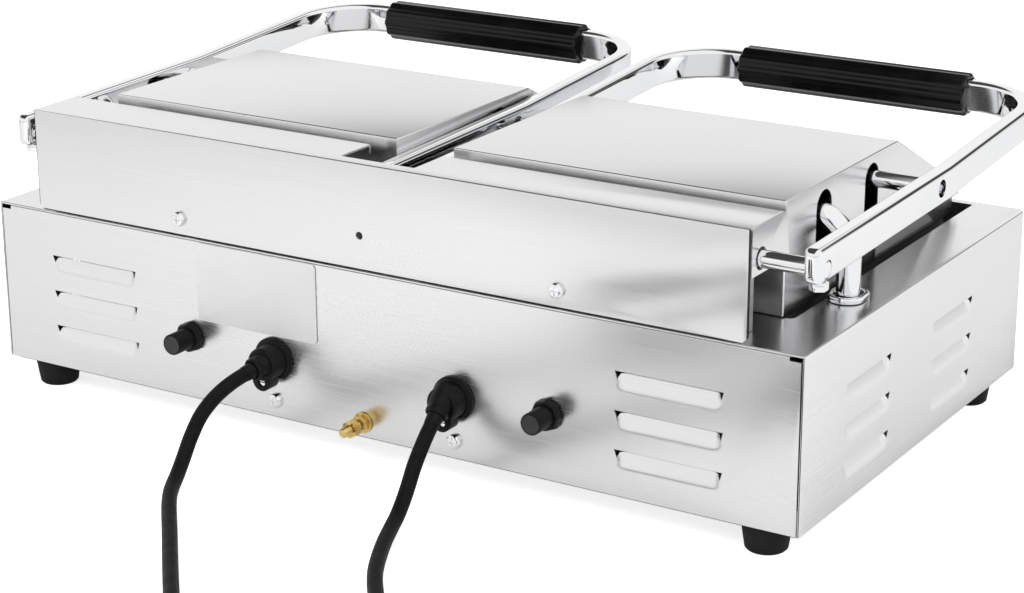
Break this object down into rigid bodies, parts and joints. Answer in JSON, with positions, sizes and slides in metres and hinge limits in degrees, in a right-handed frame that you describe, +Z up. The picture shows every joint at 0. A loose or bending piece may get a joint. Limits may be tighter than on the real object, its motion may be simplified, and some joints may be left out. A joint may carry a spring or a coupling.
{
  "type": "double contact grill",
  "caption": "Countertop contact grill: a stainless base with ribbed cast plates and hinged heads that swing up on chromed handles, each with its own supply cord.",
  "frame": {"origin": "on the floor under the middle of the appliance's bounding box, supply cords left out", "axes": "+Z up, -Y to the front where the grips and controls are, +X to the right of a person who stands at the front"},
  "size_m": [0.5852, 0.7699, 0.1983],
  "materials": {
    "brushed_sheet": "brushed stainless sheet",
    "plain_steel": "dull mill finish",
    "chrome": "polished chromium plate",
    "cast_iron": "seasoned dark casting",
    "black_plastic": "moulded, satin to gloss",
    "black_rubber": "matt rubber",
    "brass": "turned brass",
    "white_label": "blank printed film",
    "cream_ceramic": "steatite",
    "amber_lens": "clear amber"
  },
  "bodies": {
    "base": {"base_shell": "brushed_sheet", "rear_panel": "brushed_sheet", "bottom_panel": "plain_steel", "foot_front_left": "black_rubber", "foot_rear_left": "black_rubber", "foot_front_right": "black_rubber", "foot_rear_right": "black_rubber", "hinge_housing": "brushed_sheet", "shaft_bracket_left": "plain_steel", "shaft_bracket_right": "plain_steel", "torsion_spring_left": "plain_steel", "torsion_spring_right": "plain_steel", "conduit_collar_left": "chrome", "conduit_collar_right": "chrome", "lower_plate_left": "cast_iron", "lower_plate_right": "cast_iron", "lower_element_left": "plain_steel", "lower_element_right": "plain_steel", "thermostat_left": "black_plastic", "thermostat_right": "black_plastic", "switch_housing_left": "black_plastic", "switch_housing_right": "black_plastic", "indicator_lamp_left": "amber_lens", "indicator_lamp_right": "amber_lens", "reset_collar_left": "black_plastic", "reset_collar_right": "black_plastic", "cord_gland_left": "black_plastic", "cord_gland_right": "black_plastic", "terminal_stud": "brass", "rating_plate": "white_label", "terminal_block": "cream_ceramic", "cord_left": "black_rubber", "coil_left": "black_rubber", "plug_left": "black_plastic", "cord_right": "black_rubber", "coil_right": "black_rubber", "plug_right": "black_plastic"},
    "left_handle": {"handle_bar_left": "chrome", "grip_left": "black_plastic", "hinge_shaft_left": "chrome", "pivot_rod_left": "chrome"},
    "right_handle": {"handle_bar_right": "chrome", "grip_right": "black_plastic", "hinge_shaft_right": "chrome", "pivot_rod_right": "chrome"},
    "left_head": {"lid_cover_left": "brushed_sheet", "upper_plate_left": "cast_iron", "upper_element_left": "plain_steel"},
    "right_head": {"lid_cover_right": "brushed_sheet", "upper_plate_right": "cast_iron", "upper_element_right": "plain_steel"},
    "left_conduit": {"conduit_tube_left": "chrome"},
    "right_conduit": {"conduit_tube_right": "chrome"},
    "left_knob": {"knob_left": "black_plastic"},
    "right_knob": {"knob_right": "black_plastic"},
    "left_rocker": {"rocker_left": "black_plastic"},
    "right_rocker": {"rocker_right": "black_plastic"},
    "left_reset_button": {"reset_button_left": "black_plastic"},
    "right_reset_button": {"reset_button_right": "black_plastic"},
    "tray": {"drip_tray": "plain_steel"}
  },
  "joints": [
    {"name": "left_lift", "type": "hinge", "parent": "base", "child": "left_handle", "pos_m": [-0.13625, 0.15418, 0.1675], "axis": [-1, 0, 0], "range_deg": [0, 50]},
    {"name": "right_lift", "type": "hinge", "parent": "base", "child": "right_handle", "pos_m": [0.12025, 0.15418, 0.1675], "axis": [-1, 0, 0], "range_deg": [0, 50]},
    {"name": "left_tilt", "type": "hinge", "parent": "left_handle", "child": "left_head", "pos_m": [-0.13625, 0.00068, 0.1743], "axis": [-1, 0, 0], "range_deg": [-8, 0]},
    {"name": "right_tilt", "type": "hinge", "parent": "right_handle", "child": "right_head", "pos_m": [0.12025, 0.00068, 0.1743], "axis": [-1, 0, 0], "range_deg": [-8, 0]},
    {"name": "left_conduit_lean", "type": "hinge", "parent": "left_head", "child": "left_conduit", "pos_m": [-0.23, 0.06767, 0.17], "axis": [-1, 0, 0], "range_deg": [-23.5, 0]},
    {"name": "right_conduit_lean", "type": "hinge", "parent": "right_head", "child": "right_conduit", "pos_m": [0.214, 0.06767, 0.17], "axis": [-1, 0, 0], "range_deg": [-23.5, 0]},
    {"name": "left_knob_turn", "type": "hinge", "parent": "base", "child": "left_knob", "pos_m": [-0.2125, -0.15432, 0.079], "axis": [0, 1, 0], "range_deg": [0, 270]},
    {"name": "right_knob_turn", "type": "hinge", "parent": "base", "child": "right_knob", "pos_m": [0.2175, -0.15432, 0.079], "axis": [0, 1, 0], "range_deg": [0, 270]},
    {"name": "left_rocker_press", "type": "hinge", "parent": "base", "child": "left_rocker", "pos_m": [-0.1605, -0.15232, 0.079], "axis": [-1, 0, 0], "range_deg": [0, 14]},
    {"name": "right_rocker_press", "type": "hinge", "parent": "base", "child": "right_rocker", "pos_m": [0.1655, -0.15232, 0.079], "axis": [-1, 0, 0], "range_deg": [0, 14]},
    {"name": "left_reset_push", "type": "slide", "parent": "base", "child": "left_reset_button", "axis": [0, -1, 0], "range_m": [0, 0.0025], "stiffness_N_per_m": 400, "springref_m": -0.001},
    {"name": "right_reset_push", "type": "slide", "parent": "base", "child": "right_reset_button", "axis": [0, -1, 0], "range_m": [0, 0.0025], "stiffness_N_per_m": 400, "springref_m": -0.001},
    {"name": "tray_slide", "type": "slide", "parent": "base", "child": "tray", "axis": [0, -1, 0], "range_m": [0, 0.1]}
  ],
  "couplings": [
    {"joint": "left_tilt", "follows": "left_lift", "ratio": -0.16},
    {"joint": "right_tilt", "follows": "right_lift", "ratio": -0.16},
    {"joint": "left_conduit_lean", "follows": "left_lift", "ratio": -0.47},
    {"joint": "right_conduit_lean", "follows": "right_lift", "ratio": -0.47}
  ]
}
